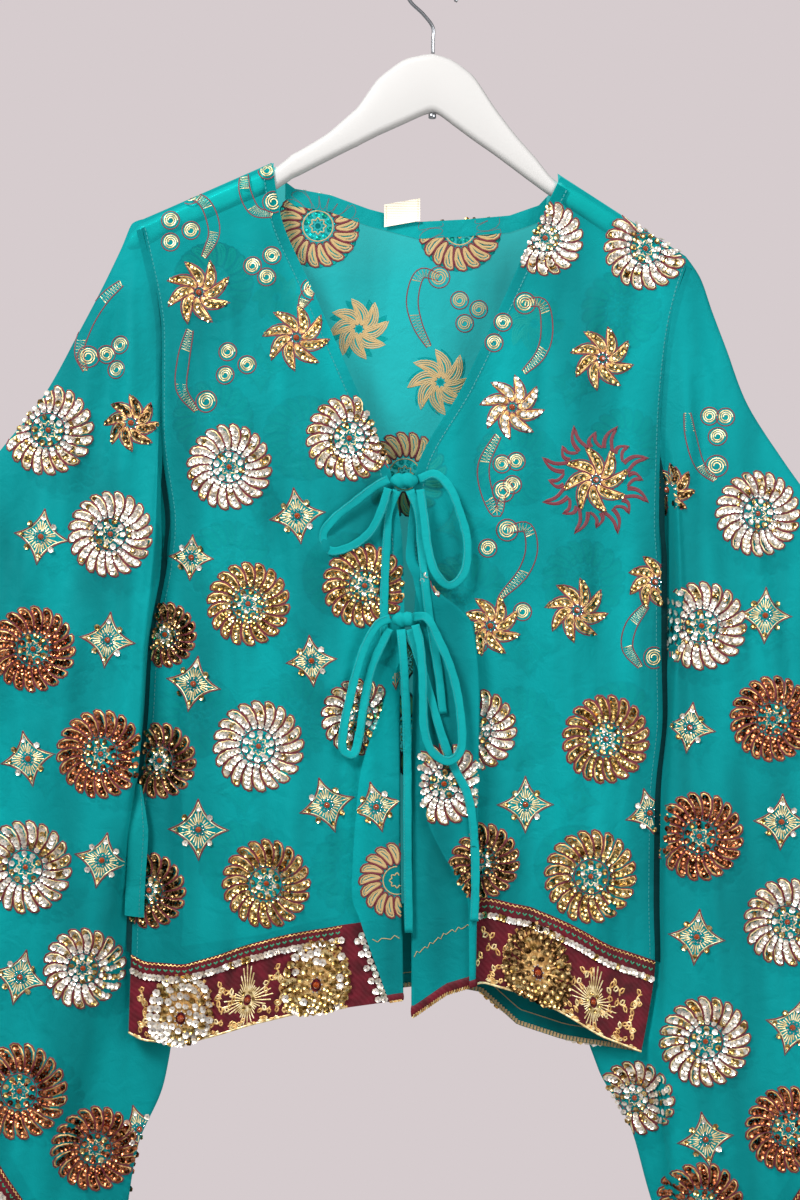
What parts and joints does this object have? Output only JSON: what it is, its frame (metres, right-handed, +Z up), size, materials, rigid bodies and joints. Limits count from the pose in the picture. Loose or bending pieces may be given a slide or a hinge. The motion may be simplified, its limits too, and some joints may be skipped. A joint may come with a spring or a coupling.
{
  "type": "sari blouse on a hanger",
  "caption": "Sheer open-front sari blouse with wide bell sleeves, V neck, two ribbon bows and embroidered hem and cuff borders, on a flat wooden hanger.",
  "frame": {"origin": "the top of the inside of the wire hook, where a rail carries the hanger", "axes": "+Z up, +X to the right as seen from the open front, the front faces -Y"},
  "size_m": [0.9992, 0.0793, 1.142],
  "materials": {
    "georgette": "sheer crinkled weave, embroidered all over",
    "ribbon": "folded and stitched narrow strips of the same cloth",
    "border": "dense thread embroidery with metal sequins",
    "label": "plain woven tape",
    "hanger_wood": "satin white paint",
    "hook_wire": "bright drawn wire"
  },
  "bodies": {
    "root": {"front_left": "georgette", "front_right": "georgette", "back": "georgette", "sleeve_left_front": "georgette", "sleeve_left_back": "georgette", "sleeve_right_front": "georgette", "sleeve_right_back": "georgette", "border_front_left": "border", "border_front_right": "border", "border_back": "border", "cuff_border_left": "border", "cuff_border_right": "border", "facing_front_left": "georgette", "facing_front_right": "georgette", "facing_back_neck": "georgette", "neck_label": "label", "tie_upper_knot": "ribbon", "tie_upper_left_loop": "ribbon", "tie_upper_right_loop": "ribbon", "tie_upper_left_tail": "ribbon", "tie_upper_right_tail": "ribbon", "tie_lower_knot": "ribbon", "tie_lower_left_loop": "ribbon", "tie_lower_right_loop": "ribbon", "tie_lower_long_tail": "ribbon", "tie_lower_right_tail": "ribbon", "hanger": "hanger_wood", "hanger_hook": "hook_wire", "hook_nut": "hook_wire"}
  },
  "joints": []
}
